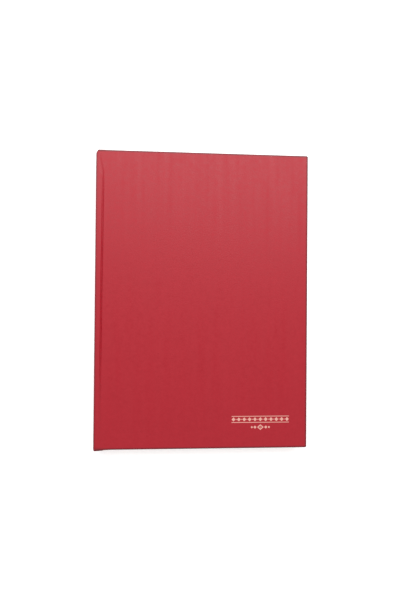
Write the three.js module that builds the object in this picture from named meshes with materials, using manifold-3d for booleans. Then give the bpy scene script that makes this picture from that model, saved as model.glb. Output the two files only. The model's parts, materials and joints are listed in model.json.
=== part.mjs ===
// A case-bound cash book, lying closed on its back cover.
//
// The case is two cover boards and a spine board, joined by one covering cloth that
// wraps round their edges and dips into a groove on each side of the spine.
// The text block is twelve folded sections, sewn through their folds, lined at the
// back with gauze and kraft paper, and hung in the case by its endpapers.
//
// Millimetres. +X runs from the spine to the fore edge, +Y from the tail to the head
// and +Z from the back cover to the front cover. The origin is the middle of the
// footprint, on the surface that the book lies on.

import * as THREE from "three";
import { mergeVertices } from "three/addons/utils/BufferGeometryUtils.js";
import Module from "manifold-3d";

const wasm = await Module();
wasm.setup();

// Text block
const PAGE_WIDTH = 200; // from the fold to the fore edge
const PAGE_HEIGHT = 280;
const PAPER_THICKNESS = 0.1;
const SECTION_COUNT = 12;
const SHEETS_PER_SECTION = 4; // folded once, so each sheet is two leaves
const FOLD_OPENING = 0.05; // air in the middle of a folded section
const SECTION_GAP = 0.05; // air between one section and the next
const FOLD_STEPS = 8;

// Endpapers
const ENDPAPER_THICKNESS = 0.2;
const ENDPAPER_GAP = 0.1; // air on each side of a flyleaf
const PASTEDOWN_START = 0.5; // the pastedown's hinge edge, from the folds
const FLYLEAF_START = 0.3;
const PASTEDOWN_STEP_WIDTH = 1.5; // slope from the turned-in cloth down to the board

// Case
const BOARD_THICKNESS = 2.4;
const SPINE_BOARD_THICKNESS = 1.2;
const SPINE_BOARD_END_MARGIN = 3.5; // the cloth closes to a cap past the board's ends
const CLOTH_THICKNESS = 0.3;
const SQUARE = 3; // how far the boards stand past the leaves
const JOINT_WIDTH = 8; // from the spine board to a cover board
const GROOVE_DEPTH = 1.2;
const GROOVE_WIDTH = 4;
const GROOVE_TO_BOARD = 3.3; // from the groove's middle to the cover board
const GROOVE_STEPS = 24;
const TURN_IN = 15; // cloth folded over onto the inside of a board
const CLOTH_CORNER_RADIUS = 1.4; // corners of a cover, seen from the front
const CLOTH_EDGE_RADIUS = 0.8; // edges of a cover, seen from the side
const EDGE_STEPS = 3;
const GLUE_GAP = 0.05; // between two glued layers

// Spine linings and sewing
const MULL_THICKNESS = 0.2;
const MULL_FLANGE_WIDTH = 25; // gauze glued onto each board, under the pastedown
const MULL_END_MARGIN = 14; // the gauze stops short of the head and the tail
const KRAFT_THICKNESS = 0.25;
const KRAFT_END_MARGIN = 4;
const HOLLOW = 0.5; // free space between the kraft lining and the spine board
const THREAD_DIAMETER = 0.24;
const THREAD_CLEARANCE = 0.05;
const THREAD_DIP = 0.2; // how far a stitch sinks between two folds
const THREAD_SIDES = 6;
const THREAD_STEPS_PER_SECTION = 4;
const KETTLE_STITCH_MARGIN = 15; // the end stitches, from the head and the tail
const STITCH_COUNT = 5;

// Headbands
const HEADBAND_TAPE_THICKNESS = 0.2;
const HEADBAND_TAPE_LENGTH = 11;
const HEADBAND_BEAD_RADIUS = 0.8;
const HEADBAND_CLEARANCE = 0.1; // from the bead to the leaves
const HEADBAND_SIDES = 12;

// Layers of one cover, counted inwards from its outer face
const BOARD_BOTTOM = CLOTH_THICKNESS + GLUE_GAP;
const BOARD_TOP = BOARD_BOTTOM + BOARD_THICKNESS;
const TURN_IN_BOTTOM = BOARD_TOP + GLUE_GAP;
const TURN_IN_TOP = TURN_IN_BOTTOM + CLOTH_THICKNESS;
const PASTEDOWN_BOTTOM = TURN_IN_TOP + GLUE_GAP;
const PASTEDOWN_TOP = PASTEDOWN_BOTTOM + ENDPAPER_THICKNESS;
const FLYLEAF_BOTTOM = PASTEDOWN_TOP + ENDPAPER_GAP;
const FLYLEAF_TOP = FLYLEAF_BOTTOM + ENDPAPER_THICKNESS;
const BLOCK_BOTTOM = FLYLEAF_TOP + ENDPAPER_GAP;

const HALF_SECTION = SHEETS_PER_SECTION * PAPER_THICKNESS;
const SECTION_THICKNESS = 2 * HALF_SECTION + FOLD_OPENING;
const SECTION_PITCH = SECTION_THICKNESS + SECTION_GAP;
const BLOCK_THICKNESS = SECTION_COUNT * SECTION_PITCH - SECTION_GAP;
const BLOCK_TOP = BLOCK_BOTTOM + BLOCK_THICKNESS;
const BOOK_THICKNESS = BLOCK_TOP + BLOCK_BOTTOM;

// Layers behind the folds, which lie at x = 0 in the binding's own coordinates
const THREAD_MIDDLE_X = -(THREAD_CLEARANCE + THREAD_DIAMETER / 2);
const MULL_INNER_X = -(2 * THREAD_CLEARANCE + THREAD_DIAMETER + GLUE_GAP);
const MULL_OUTER_X = MULL_INNER_X - MULL_THICKNESS;
const KRAFT_INNER_X = MULL_OUTER_X - GLUE_GAP;
const KRAFT_OUTER_X = KRAFT_INNER_X - KRAFT_THICKNESS;
const SPINE_BOARD_INNER_X = KRAFT_OUTER_X - HOLLOW;
const SPINE_BOARD_OUTER_X = SPINE_BOARD_INNER_X - SPINE_BOARD_THICKNESS;
const SPINE_OUTER_X = SPINE_BOARD_OUTER_X - GLUE_GAP - CLOTH_THICKNESS;

const COVER_HEIGHT = PAGE_HEIGHT + 2 * SQUARE;
const COVER_FORE_X = PAGE_WIDTH + SQUARE;
const COVER_START_X = SPINE_BOARD_INNER_X + JOINT_WIDTH; // a cover board's spine edge
const CLOTH_WRAP = CLOTH_THICKNESS + GLUE_GAP; // cloth and glue round a board's edge
const BOOK_WIDTH = COVER_FORE_X - SPINE_OUTER_X;

const COLOURS = {
  cloth: { color: 0xaf2f3a, roughness: 0.5 },
  board: { color: 0x8f8a80, roughness: 0.95 },
  endpaper: { color: 0xf3efe4, roughness: 0.85 },
  ledgerPaper: { color: 0xf6f3ea, roughness: 0.85 },
  gauze: { color: 0xe9e6dc, roughness: 0.95 },
  kraft: { color: 0xb38a5a, roughness: 0.9 },
  thread: { color: 0xf4f1e8, roughness: 0.8 },
  headband: { color: 0xd8c8c0, roughness: 0.7 },
};

// The binding's own coordinates have x = 0 at the folds of the sections.
const binding = new THREE.Group();
binding.position.x = -BOOK_WIDTH / 2 - SPINE_OUTER_X;

function addPiece(group, name, geometry, finish) {
  const material = new THREE.MeshStandardMaterial({ ...finish, metalness: 0 });
  const mesh = new THREE.Mesh(geometry, material);
  mesh.name = name;
  group.add(mesh);
  return mesh;
}

// A box between two corners.
function slab([x0, y0, z0], [x1, y1, z1]) {
  const box = new THREE.BoxGeometry(x1 - x0, y1 - y0, z1 - z0);
  return box.translate((x0 + x1) / 2, (y0 + y1) / 2, (z0 + z1) / 2);
}

// A closed geometry as a solid that can be joined and cut.
function solidOf(geometry) {
  const bare = geometry.clone();
  bare.deleteAttribute("normal");
  bare.deleteAttribute("uv");
  const merged = mergeVertices(bare);
  return new wasm.Manifold(
    new wasm.Mesh({
      numProp: 3,
      vertProperties: new Float32Array(merged.attributes.position.array),
      triVerts: new Uint32Array(merged.index.array),
    }),
  );
}

// A joined or cut solid as a geometry again.
function geometryOf(solid) {
  const mesh = solid.getMesh();
  const geometry = new THREE.BufferGeometry();
  geometry.setAttribute("position", new THREE.BufferAttribute(mesh.vertProperties, 3));
  geometry.setIndex(new THREE.BufferAttribute(mesh.triVerts, 1));
  geometry.computeVertexNormals();
  return geometry;
}

// An outline in x and z, drawn out along the book's height and centred on it.
function alongHeight(outline, height) {
  const profile = new THREE.ExtrudeGeometry(outline, {
    depth: height,
    bevelEnabled: false,
    curveSegments: FOLD_STEPS,
  });
  return profile.rotateX(Math.PI / 2).translate(0, height / 2, 0);
}

function roundedRectangle(x0, y0, x1, y1, radius) {
  const outline = new THREE.Shape();
  outline.moveTo(x0 + radius, y0);
  outline.lineTo(x1 - radius, y0);
  outline.absarc(x1 - radius, y0 + radius, radius, -Math.PI / 2, 0, false);
  outline.lineTo(x1, y1 - radius);
  outline.absarc(x1 - radius, y1 - radius, radius, 0, Math.PI / 2, false);
  outline.lineTo(x0 + radius, y1);
  outline.absarc(x0 + radius, y1 - radius, radius, Math.PI / 2, Math.PI, false);
  outline.lineTo(x0, y0 + radius);
  outline.absarc(x0 + radius, y0 + radius, radius, Math.PI, 1.5 * Math.PI, false);
  return outline;
}

// The cloth on a cover board: a tray round the board's head, tail and fore edge, with
// its margins turned in over the board's inner face. Its spine side is open, because
// there the cloth runs on into the joint.
function coverCloth() {
  const r = CLOTH_EDGE_RADIUS;
  const past = 2 * CLOTH_CORNER_RADIUS; // rounded end that the trim below takes off
  const outline = roundedRectangle(
    COVER_START_X - past,
    -COVER_HEIGHT / 2,
    COVER_FORE_X,
    COVER_HEIGHT / 2,
    CLOTH_CORNER_RADIUS,
  );
  const cushion = new THREE.ExtrudeGeometry(outline, {
    depth: TURN_IN_TOP - 2 * r,
    bevelThickness: r,
    bevelSize: r,
    bevelOffset: -r,
    bevelSegments: EDGE_STEPS,
    curveSegments: EDGE_STEPS,
  }).translate(0, 0, r);
  const trimHeight = COVER_HEIGHT;
  const trim = slab(
    [COVER_START_X - 2 * past, -trimHeight, -TURN_IN_TOP],
    [COVER_START_X, trimHeight, 2 * TURN_IN_TOP],
  );
  const insideFore = COVER_FORE_X - CLOTH_WRAP + GLUE_GAP;
  const insideHalf = COVER_HEIGHT / 2 - CLOTH_WRAP + GLUE_GAP;
  const pocket = slab(
    [COVER_START_X - past, -insideHalf, CLOTH_THICKNESS],
    [insideFore, insideHalf, TURN_IN_BOTTOM],
  );
  const window = slab(
    [COVER_START_X - past, TURN_IN - COVER_HEIGHT / 2, BOARD_BOTTOM],
    [COVER_FORE_X - TURN_IN, COVER_HEIGHT / 2 - TURN_IN, 2 * TURN_IN_TOP],
  );
  return geometryOf(
    solidOf(cushion).subtract(solidOf(trim)).subtract(solidOf(pocket)).subtract(solidOf(window)),
  );
}

// How deep the cloth dips into the joint, at x. It is level at both of its edges.
function grooveDepth(x) {
  const middle = COVER_START_X - GROOVE_TO_BOARD;
  const share = Math.min(1, Math.abs(x - middle) / (GROOVE_WIDTH / 2));
  return (GROOVE_DEPTH * (1 + Math.cos(Math.PI * share))) / 2;
}

function jointRibbon(thickness, height) {
  const start = SPINE_BOARD_INNER_X + GLUE_GAP;
  const end = COVER_START_X - GLUE_GAP;
  const at = (i) => start + ((end - start) * i) / GROOVE_STEPS;
  const outline = new THREE.Shape();
  outline.moveTo(start, grooveDepth(start));
  for (let i = 1; i <= GROOVE_STEPS; i++) outline.lineTo(at(i), grooveDepth(at(i)));
  for (let i = GROOVE_STEPS; i >= 0; i--) outline.lineTo(at(i), grooveDepth(at(i)) + thickness);
  return alongHeight(outline, height);
}

// The cloth over a joint, doubled at the head and the tail where it is turned in.
function jointCloth() {
  const half = COVER_HEIGHT / 2;
  const folded = (direction) =>
    jointRibbon(2 * CLOTH_THICKNESS, TURN_IN).translate(0, direction * (half - TURN_IN / 2), 0);
  return geometryOf(
    solidOf(jointRibbon(CLOTH_THICKNESS, COVER_HEIGHT)).add(solidOf(folded(1))).add(solidOf(folded(-1))),
  );
}

// A closed shell through a row of rectangles, each {x0, x1, halfHeight, z}.
function shellThrough(rings) {
  const points = rings.flatMap(({ x0, x1, halfHeight, z }) => [
    [x0, -halfHeight, z],
    [x1, -halfHeight, z],
    [x1, halfHeight, z],
    [x0, halfHeight, z],
  ]);
  const faces = [0, 2, 1, 0, 3, 2];
  for (let ring = 0; ring + 1 < rings.length; ring++) {
    for (let corner = 0; corner < 4; corner++) {
      const here = 4 * ring + corner;
      const next = 4 * ring + ((corner + 1) % 4);
      faces.push(here, next, next + 4, here, next + 4, here + 4);
    }
  }
  const last = 4 * (rings.length - 1);
  faces.push(last, last + 1, last + 2, last, last + 2, last + 3);
  const geometry = new THREE.BufferGeometry();
  geometry.setAttribute("position", new THREE.Float32BufferAttribute(points.flat(), 3));
  geometry.setIndex(faces);
  return geometry.toNonIndexed();
}

// The half of an endpaper that is pasted down. Its margins lie on the turned-in cloth
// and its middle is pressed down onto the board between them.
function pastedown() {
  const halfHeight = PAGE_HEIGHT / 2;
  const drop = PASTEDOWN_BOTTOM - BOARD_TOP - GLUE_GAP;
  const margin = { x0: PASTEDOWN_START, x1: PAGE_WIDTH, halfHeight };
  const slope = {
    x0: COVER_START_X + MULL_FLANGE_WIDTH + PASTEDOWN_STEP_WIDTH,
    x1: COVER_FORE_X - TURN_IN - PASTEDOWN_STEP_WIDTH,
    halfHeight: COVER_HEIGHT / 2 - TURN_IN - PASTEDOWN_STEP_WIDTH,
  };
  const well = {
    x0: slope.x0 + PASTEDOWN_STEP_WIDTH,
    x1: slope.x1 - PASTEDOWN_STEP_WIDTH,
    halfHeight: slope.halfHeight - PASTEDOWN_STEP_WIDTH,
  };
  return shellThrough([
    { ...well, z: PASTEDOWN_BOTTOM - drop },
    { ...slope, z: PASTEDOWN_BOTTOM },
    { ...margin, z: PASTEDOWN_BOTTOM },
    { ...margin, z: PASTEDOWN_TOP },
    { ...slope, z: PASTEDOWN_TOP },
    { ...well, z: PASTEDOWN_TOP - drop },
  ]);
}

// One cover with its endpaper and the cloth of its joint, outer face down at z = 0.
function addCover(group, side) {
  const boardHalf = COVER_HEIGHT / 2 - CLOTH_WRAP;
  const boardFore = COVER_FORE_X - CLOTH_WRAP;
  const pageHalf = PAGE_HEIGHT / 2;
  const board = slab(
    [COVER_START_X, -boardHalf, BOARD_BOTTOM],
    [boardFore, boardHalf, BOARD_TOP],
  );
  const gauzeHalf = pageHalf - MULL_END_MARGIN;
  const gauze = slab(
    [COVER_START_X, -gauzeHalf, TURN_IN_BOTTOM],
    [COVER_START_X + MULL_FLANGE_WIDTH, gauzeHalf, TURN_IN_BOTTOM + MULL_THICKNESS],
  );
  const flyleaf = slab(
    [FLYLEAF_START, -pageHalf, FLYLEAF_BOTTOM],
    [PAGE_WIDTH, pageHalf, FLYLEAF_TOP],
  );
  addPiece(group, `${side}_cover_cloth`, coverCloth(), COLOURS.cloth);
  addPiece(group, `${side}_cover_board`, board, COLOURS.board);
  addPiece(group, `${side}_joint_cloth`, jointCloth(), COLOURS.cloth);
  addPiece(group, `${side}_mull_flange`, gauze, COLOURS.gauze);
  addPiece(group, `${side}_pastedown`, pastedown(), COLOURS.endpaper);
  addPiece(group, `${side}_flyleaf`, flyleaf, COLOURS.endpaper);
}

// The outline of sheets folded together: a round fold at x = 0, and two halves that
// lie apart by the air in the middle.
function foldedSectionOutline() {
  const radius = SECTION_THICKNESS / 2;
  const outline = new THREE.Shape();
  outline.moveTo(radius, 0);
  outline.lineTo(PAGE_WIDTH, 0);
  outline.lineTo(PAGE_WIDTH, HALF_SECTION);
  outline.lineTo(HALF_SECTION, HALF_SECTION);
  outline.lineTo(HALF_SECTION, HALF_SECTION + FOLD_OPENING);
  outline.lineTo(PAGE_WIDTH, HALF_SECTION + FOLD_OPENING);
  outline.lineTo(PAGE_WIDTH, SECTION_THICKNESS);
  outline.lineTo(radius, SECTION_THICKNESS);
  outline.absarc(radius, radius, radius, Math.PI / 2, 1.5 * Math.PI, false);
  return outline;
}

// Sections are counted from the front cover, so the first one lies on top.
function addSections(group) {
  const outline = foldedSectionOutline();
  for (let i = 0; i < SECTION_COUNT; i++) {
    const name = `section_${String(i + 1).padStart(2, "0")}`;
    const section = addPiece(group, name, alongHeight(outline, PAGE_HEIGHT), COLOURS.ledgerPaper);
    section.position.z = BLOCK_TOP - SECTION_THICKNESS - i * SECTION_PITCH;
  }
}

// A row of stitches across the backs of the sections. The thread rides over each fold
// and sinks between one section and the next.
class StitchPath extends THREE.Curve {
  getPoint(share, target = new THREE.Vector3()) {
    const z = SECTION_THICKNESS / 2 + share * (SECTION_COUNT - 1) * SECTION_PITCH;
    const phase = (share * (SECTION_COUNT - 1)) % 1;
    const dip = (THREAD_DIP * (1 - Math.cos(2 * Math.PI * phase))) / 2;
    return target.set(THREAD_MIDDLE_X + dip, 0, BLOCK_BOTTOM + z);
  }
}

function addStitches(group) {
  const section = new THREE.Shape();
  section.absarc(0, 0, THREAD_DIAMETER / 2, 0, 2 * Math.PI, false);
  const end = PAGE_HEIGHT / 2 - KETTLE_STITCH_MARGIN;
  const steps = (SECTION_COUNT - 1) * THREAD_STEPS_PER_SECTION;
  for (let i = 0; i < STITCH_COUNT; i++) {
    const thread = new THREE.ExtrudeGeometry(section, {
      steps,
      curveSegments: THREAD_SIDES / 2,
      extrudePath: new StitchPath(),
    });
    const stitch = addPiece(group, `sewing_stitch_${i + 1}`, thread, COLOURS.thread);
    stitch.position.y = -end + (2 * end * i) / (STITCH_COUNT - 1);
  }
}

// The gauze and the kraft paper glued down the back of the text block.
function addLinings(group) {
  const mullHalf = PAGE_HEIGHT / 2 - MULL_END_MARGIN;
  const kraftHalf = PAGE_HEIGHT / 2 - KRAFT_END_MARGIN;
  const mull = slab(
    [MULL_OUTER_X, -mullHalf, BLOCK_BOTTOM],
    [MULL_INNER_X, mullHalf, BLOCK_TOP],
  );
  const kraft = slab(
    [KRAFT_OUTER_X, -kraftHalf, BLOCK_BOTTOM],
    [KRAFT_INNER_X, kraftHalf, BLOCK_TOP],
  );
  addPiece(group, "spine_mull", mull, COLOURS.gauze);
  addPiece(group, "spine_kraft_lining", kraft, COLOURS.kraft);
}

// A headband: a bead over the ends of the sections, on a tape glued down their backs.
function headband() {
  const r = HEADBAND_BEAD_RADIUS;
  const outerX = MULL_INNER_X - HEADBAND_TAPE_THICKNESS;
  const beadX = outerX + r;
  const beadY = PAGE_HEIGHT / 2 + HEADBAND_CLEARANCE + r;
  const bead = new THREE.CylinderGeometry(r, r, BLOCK_THICKNESS, HEADBAND_SIDES)
    .rotateX(Math.PI / 2)
    .translate(beadX, beadY, BLOCK_BOTTOM + BLOCK_THICKNESS / 2);
  const tape = slab(
    [outerX, PAGE_HEIGHT / 2 - HEADBAND_TAPE_LENGTH, BLOCK_BOTTOM],
    [MULL_INNER_X, beadY, BLOCK_TOP],
  );
  return geometryOf(solidOf(bead).add(solidOf(tape)));
}

function addHeadbands(group) {
  addPiece(group, "headband", headband(), COLOURS.headband);
  const tailband = addPiece(group, "tailband", headband(), COLOURS.headband);
  tailband.scale.y = -1;
}

// The cloth on the spine board: over its back, over both long edges to the joints, and
// turned in over its ends.
function spineCloth() {
  const r = CLOTH_EDGE_RADIUS;
  const pastJoint = 2 * r; // rounded side that the trim below takes off
  const outline = roundedRectangle(
    SPINE_OUTER_X,
    0,
    SPINE_BOARD_INNER_X + pastJoint,
    BOOK_THICKNESS,
    r,
  );
  const body = alongHeight(outline, COVER_HEIGHT);
  const turnedInX = SPINE_BOARD_INNER_X + GLUE_GAP + CLOTH_THICKNESS;
  const trim = slab(
    [turnedInX, -COVER_HEIGHT, -BOOK_THICKNESS],
    [turnedInX + 2 * pastJoint, COVER_HEIGHT, 2 * BOOK_THICKNESS],
  );
  const insideHalf = COVER_HEIGHT / 2 - CLOTH_THICKNESS;
  const pocket = slab(
    [SPINE_OUTER_X + CLOTH_THICKNESS, -insideHalf, CLOTH_THICKNESS],
    [SPINE_BOARD_INNER_X + GLUE_GAP, insideHalf, BOOK_THICKNESS - CLOTH_THICKNESS],
  );
  const windowHalf = COVER_HEIGHT / 2 - TURN_IN;
  const window = slab(
    [SPINE_BOARD_INNER_X - GLUE_GAP, -windowHalf, CLOTH_THICKNESS],
    [turnedInX + pastJoint, windowHalf, BOOK_THICKNESS - CLOTH_THICKNESS],
  );
  // Past the board's face the long edges belong to the joints.
  const jointSpace = (z0, z1) =>
    solidOf(slab([SPINE_BOARD_INNER_X, -COVER_HEIGHT, z0], [turnedInX + pastJoint, COVER_HEIGHT, z1]));
  const jointReach = GROOVE_DEPTH + 2 * CLOTH_THICKNESS;
  return geometryOf(
    solidOf(body)
      .subtract(solidOf(trim))
      .subtract(solidOf(pocket))
      .subtract(solidOf(window))
      .subtract(jointSpace(-jointReach, jointReach))
      .subtract(jointSpace(BOOK_THICKNESS - jointReach, BOOK_THICKNESS + jointReach)),
  );
}

function addSpine(group) {
  const boardHalf = COVER_HEIGHT / 2 - SPINE_BOARD_END_MARGIN;
  const board = slab(
    [SPINE_BOARD_OUTER_X, -boardHalf, CLOTH_WRAP],
    [SPINE_BOARD_INNER_X, boardHalf, BOOK_THICKNESS - CLOTH_WRAP],
  );
  addPiece(group, "spine_cloth", spineCloth(), COLOURS.cloth);
  addPiece(group, "spine_board", board, COLOURS.board);
}

const backSide = new THREE.Group();
addCover(backSide, "back");

// The front side is the back side turned over.
const frontSide = new THREE.Group();
addCover(frontSide, "front");
frontSide.scale.z = -1;
frontSide.position.z = BOOK_THICKNESS;

binding.add(backSide, frontSide);
addSpine(binding);
addLinings(binding);
addHeadbands(binding);
addStitches(binding);
addSections(binding);

const cashBook = new THREE.Group();
cashBook.add(binding);

export default cashBook;
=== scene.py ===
"""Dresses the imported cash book: its cloth case, endpapers, ruled leaves, bands and foil.

Metres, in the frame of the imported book: +X runs from the spine to the fore edge, +Y from
the tail to the head and +Z from the back cover to the front cover. A depth is measured
from the outer face of a cover inwards, so it serves both sides of the book.
"""

import json
import logging
import math
import random
from collections.abc import Sequence
from dataclasses import dataclass, field
from enum import Enum

import bmesh
import bpy
from mathutils import Matrix, Vector, noise


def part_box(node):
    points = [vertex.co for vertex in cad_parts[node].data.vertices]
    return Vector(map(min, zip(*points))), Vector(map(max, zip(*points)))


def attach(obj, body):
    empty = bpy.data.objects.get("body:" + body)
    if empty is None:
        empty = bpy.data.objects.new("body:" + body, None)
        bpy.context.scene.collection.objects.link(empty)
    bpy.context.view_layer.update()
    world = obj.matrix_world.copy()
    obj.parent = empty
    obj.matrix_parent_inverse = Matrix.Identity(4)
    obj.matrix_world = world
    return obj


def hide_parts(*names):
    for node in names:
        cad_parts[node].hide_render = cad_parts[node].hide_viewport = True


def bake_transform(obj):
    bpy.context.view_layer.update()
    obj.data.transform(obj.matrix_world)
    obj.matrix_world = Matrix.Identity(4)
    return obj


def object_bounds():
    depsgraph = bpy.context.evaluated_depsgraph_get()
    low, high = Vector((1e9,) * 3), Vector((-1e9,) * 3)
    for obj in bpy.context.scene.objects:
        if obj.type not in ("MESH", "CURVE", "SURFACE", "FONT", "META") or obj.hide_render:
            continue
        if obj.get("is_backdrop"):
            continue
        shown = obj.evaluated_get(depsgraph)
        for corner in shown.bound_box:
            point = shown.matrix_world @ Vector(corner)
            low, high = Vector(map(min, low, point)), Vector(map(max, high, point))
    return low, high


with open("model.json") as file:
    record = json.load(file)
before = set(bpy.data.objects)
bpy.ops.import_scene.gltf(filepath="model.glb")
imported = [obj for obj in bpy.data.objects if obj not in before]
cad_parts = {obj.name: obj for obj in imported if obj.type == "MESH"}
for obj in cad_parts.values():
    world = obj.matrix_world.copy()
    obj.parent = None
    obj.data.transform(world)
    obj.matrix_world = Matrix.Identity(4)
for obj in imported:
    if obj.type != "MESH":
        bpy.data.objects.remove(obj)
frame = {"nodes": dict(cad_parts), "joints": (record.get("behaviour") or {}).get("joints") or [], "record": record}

log = logging.getLogger("cash_book")

Pair = tuple[float, float]
Triple = tuple[float, float, float]
Colour = tuple[float, float, float, float]
Material = bpy.types.Material
Object = bpy.types.Object
Node = bpy.types.Node
Socket = bpy.types.NodeSocket

MM = 0.001
UNROLLED = "unrolled"  # the map that holds each point's place on its flat sheet, in metres
PAINTED_SHADE = "painted_shade"  # the point value that says how much painted shade darkens the cloth at an edge or in the groove
SPINE = "spine"  # the body that both covers turn on
SAME_PLACE = 1e-7  # points closer together than this are one
CREASE = 50  # angle in degrees above which an edge of a sheet shades sharp
FIBRE = 0.8 * MM  # the clouds of fibre in paper
SEED = 7  # of the draws that trim the leaves


class Side(Enum):
    """The two sides of the book."""

    FRONT = "front"
    BACK = "back"

    @property
    def cover(self) -> str:
        """The body of this side's cover."""
        return f"{self.value}_cover"

    @property
    def flyleaf(self) -> str:
        """The body of this side's flyleaf."""
        return f"{self.value}_flyleaf"


@dataclass(frozen=True)
class Book:
    """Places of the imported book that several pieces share, in metres."""

    spine_x: float  # outer face of the spine
    fold_x: float  # back of the sections' folds, where the covers turn
    board_x: float  # spine edge of the cover boards
    page_x: float  # fore edge of the leaves
    fore_x: float  # fore edge of the covers
    page_half: float  # half the height of the leaves
    cover_half: float  # half the height of the covers
    thickness: float  # from the back cover's outer face to the front cover's

    @classmethod
    def packed(cls) -> "Book":
        """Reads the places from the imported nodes.

        Returns:
            The book's shared places.
        """
        section_low, section_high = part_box("section_01")
        cover_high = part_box("front_cover_cloth")[1]
        return cls(
            spine_x=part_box("spine_cloth")[0].x,
            fold_x=section_low.x,
            board_x=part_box("front_cover_board")[0].x,
            page_x=section_high.x,
            fore_x=cover_high.x,
            page_half=section_high.y,
            cover_half=cover_high.y,
            thickness=cover_high.z,
        )

    def height(self, side: Side, depth: float) -> float:
        """The z of a depth below the outer face of a side's cover."""
        return self.thickness - depth if side is Side.FRONT else depth

    def depth_span(self, side: Side, node: str) -> Pair:
        """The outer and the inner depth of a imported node, below a side's cover."""
        outer, inner = sorted(self.height(side, corner.z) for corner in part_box(node))
        return outer, inner


def smoothstep(value: float) -> float:
    """Eases from 0 to 1 between 0 and 1, and stays level outside."""
    t = min(max(value, 0.0), 1.0)
    return t * t * (3 - 2 * t)


def along(stations: Sequence[Pair], place: float) -> float:
    """Reads a curve given by stations, eased between them.

    Args:
        stations: (place, value) pairs in rising order of place.
        place: where to read.

    Returns:
        The curve's value there.
    """
    if place <= stations[0][0]:
        return stations[0][1]
    for (start, low), (end, high) in zip(stations, stations[1:]):
        if place <= end:
            return low + (high - low) * smoothstep((place - start) / (end - start))
    return stations[-1][1]


def spaced(start: float, end: float, steps: int) -> list[float]:
    """Evenly spaced values from start to end, both included."""
    return [start + (end - start) * i / steps for i in range(steps + 1)]


def rectangle(low: Pair, high: Pair) -> list[Pair]:
    """The four corners of a rectangle, in order."""
    return [(low[0], low[1]), (high[0], low[1]), (high[0], high[1]), (low[0], high[1])]


class MeshDraft:
    """The points and faces of a piece, gathered before they become a mesh."""

    def __init__(self) -> None:
        """Starts with nothing."""
        self.points: list[Vector] = []
        self.flat: list[Pair] = []
        self.painted_shade: list[float] = []
        self.faces: list[tuple[int, ...]] = []
        self.slots: list[int] = []

    def point(self, place: Vector, flat: Pair = (0.0, 0.0), painted_shade: float = 0.0) -> int:
        """Adds a point.

        Args:
            place: where it is, in the book's frame.
            flat: where it lies on the unrolled sheet.
            painted_shade: how much painted shade darkens it, from 0 to 1.

        Returns:
            The point's number.
        """
        self.points.append(place)
        self.flat.append(flat)
        self.painted_shade.append(painted_shade)
        return len(self.points) - 1

    def face(self, corners: Sequence[int], slot: int = 0) -> None:
        """Adds a face, leaving out a corner that is named twice running.

        Args:
            corners: the numbers of its points, in order.
            slot: the number of its finish.
        """
        distinct = tuple(c for i, c in enumerate(corners) if c != corners[i - 1])
        if len(distinct) > 2:
            self.faces.append(distinct)
            self.slots.append(slot)

    def bridge(
        self, first: Sequence[int], second: Sequence[int], slot: int = 0, closed: bool = False
    ) -> None:
        """Joins two rows of points with faces.

        Args:
            first: the numbers of one row's points.
            second: the numbers of the next row's points.
            slot: the number of the faces' finish.
            closed: whether the rows are rings.
        """
        count = len(first)
        for i in range(count if closed else count - 1):
            j = (i + 1) % count
            self.face((first[i], first[j], second[j], second[i]), slot)

    def loft(
        self,
        rows: Sequence[Sequence[int]],
        slot: int = 0,
        closed: bool = False,
        capped: bool = False,
    ) -> None:
        """Joins rows of points in their order.

        Args:
            rows: the numbers of each row's points.
            slot: the number of the faces' finish.
            closed: whether the rows are rings.
            capped: whether the first and the last ring are filled.
        """
        for first, second in zip(rows, rows[1:]):
            self.bridge(first, second, slot, closed)
        if capped:
            self.face(rows[0], slot)
            self.face(rows[-1], slot)

    def piece(
        self,
        name: str,
        finishes: Sequence[Material],
        crease: float | None = None,
        closed: bool = True,
    ) -> Object:
        """Turns the draft into an object.

        Args:
            name: the piece's name.
            finishes: its materials, in the order of the slots.
            crease: angle in degrees above which an edge shades sharp, or None for all smooth.
            closed: whether the faces close a body, so that they can be turned outwards.

        Returns:
            The new object, in the scene.
        """
        mesh = bpy.data.meshes.new(name)
        mesh.from_pydata([tuple(p) for p in self.points], [], self.faces)
        unrolled = mesh.uv_layers.new(name=UNROLLED)
        for loop in mesh.loops:
            unrolled.data[loop.index].uv = self.flat[loop.vertex_index]
        painted_shade = mesh.attributes.new(PAINTED_SHADE, "FLOAT", "POINT")
        painted_shade.data.foreach_set("value", self.painted_shade)
        mesh.polygons.foreach_set("material_index", self.slots)
        body = bmesh.new()
        body.from_mesh(mesh)
        bmesh.ops.remove_doubles(body, verts=body.verts, dist=SAME_PLACE)
        bmesh.ops.dissolve_degenerate(body, edges=body.edges, dist=SAME_PLACE)
        if closed:
            bmesh.ops.recalc_face_normals(body, faces=body.faces)
        body.to_mesh(mesh)
        body.free()
        mesh.shade_smooth()
        if crease is not None:
            mesh.set_sharp_from_angle(angle=math.radians(crease))
        for finish in finishes:
            mesh.materials.append(finish)
        piece = bpy.data.objects.new(name, mesh)
        bpy.context.scene.collection.objects.link(piece)
        return piece


def apply_modifiers(piece: Object) -> None:
    """Makes what a piece's modifiers show its own mesh.

    Args:
        piece: the piece, which has no modifiers afterwards.
    """
    graph = bpy.context.evaluated_depsgraph_get()
    mesh = bpy.data.meshes.new_from_object(
        piece.evaluated_get(graph), preserve_all_data_layers=True, depsgraph=graph
    )
    piece.modifiers.clear()
    piece.data = mesh


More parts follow.
